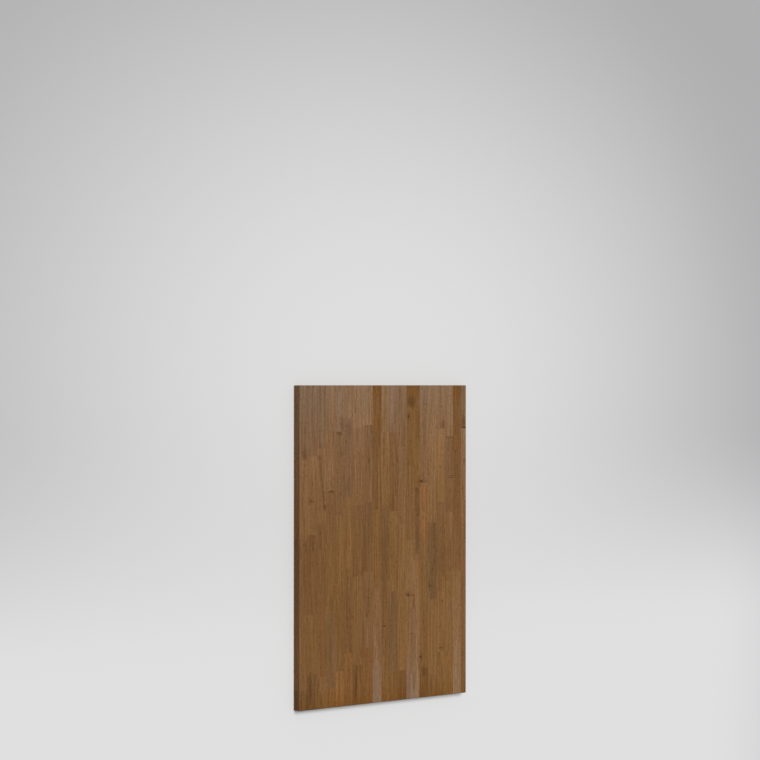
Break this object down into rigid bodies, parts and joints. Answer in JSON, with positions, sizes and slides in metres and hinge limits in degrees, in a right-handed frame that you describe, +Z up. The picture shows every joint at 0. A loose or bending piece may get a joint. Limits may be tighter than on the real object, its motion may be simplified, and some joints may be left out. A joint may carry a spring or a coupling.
{
  "type": "butcher block countertop",
  "caption": "Rectangular butcher block countertop slab of brown wood staves, edge-glued in rows with staggered butt joints and lightly eased outer edges.",
  "frame": {"origin": "middle of the underside; the slab lies flat on it", "axes": "+X along the staves and the slab's length, -Y towards the front edge, +Z up through the thickness"},
  "size_m": [1.2192, 0.8128, 0.0381],
  "materials": {
    "oiled_wood": "satin oiled brown hardwood, straight grain along the staves"
  },
  "bodies": {
    "root": {"row_01_even_staves": "oiled_wood", "row_01_odd_staves": "oiled_wood", "row_02_even_staves": "oiled_wood", "row_02_odd_staves": "oiled_wood", "row_03_even_staves": "oiled_wood", "row_03_odd_staves": "oiled_wood", "row_04_even_staves": "oiled_wood", "row_04_odd_staves": "oiled_wood", "row_05_even_staves": "oiled_wood", "row_05_odd_staves": "oiled_wood", "row_06_even_staves": "oiled_wood", "row_06_odd_staves": "oiled_wood", "row_07_even_staves": "oiled_wood", "row_07_odd_staves": "oiled_wood", "row_08_even_staves": "oiled_wood", "row_08_odd_staves": "oiled_wood", "row_09_even_staves": "oiled_wood", "row_09_odd_staves": "oiled_wood", "row_10_even_staves": "oiled_wood", "row_10_odd_staves": "oiled_wood", "row_11_even_staves": "oiled_wood", "row_11_odd_staves": "oiled_wood", "row_12_even_staves": "oiled_wood", "row_12_odd_staves": "oiled_wood", "row_13_even_staves": "oiled_wood", "row_13_odd_staves": "oiled_wood", "row_14_even_staves": "oiled_wood", "row_14_odd_staves": "oiled_wood", "row_15_even_staves": "oiled_wood", "row_15_odd_staves": "oiled_wood", "row_16_even_staves": "oiled_wood", "row_16_odd_staves": "oiled_wood", "row_17_even_staves": "oiled_wood", "row_17_odd_staves": "oiled_wood", "row_18_even_staves": "oiled_wood", "row_18_odd_staves": "oiled_wood", "row_19_even_staves": "oiled_wood", "row_19_odd_staves": "oiled_wood", "row_20_even_staves": "oiled_wood", "row_20_odd_staves": "oiled_wood"}
  },
  "joints": []
}
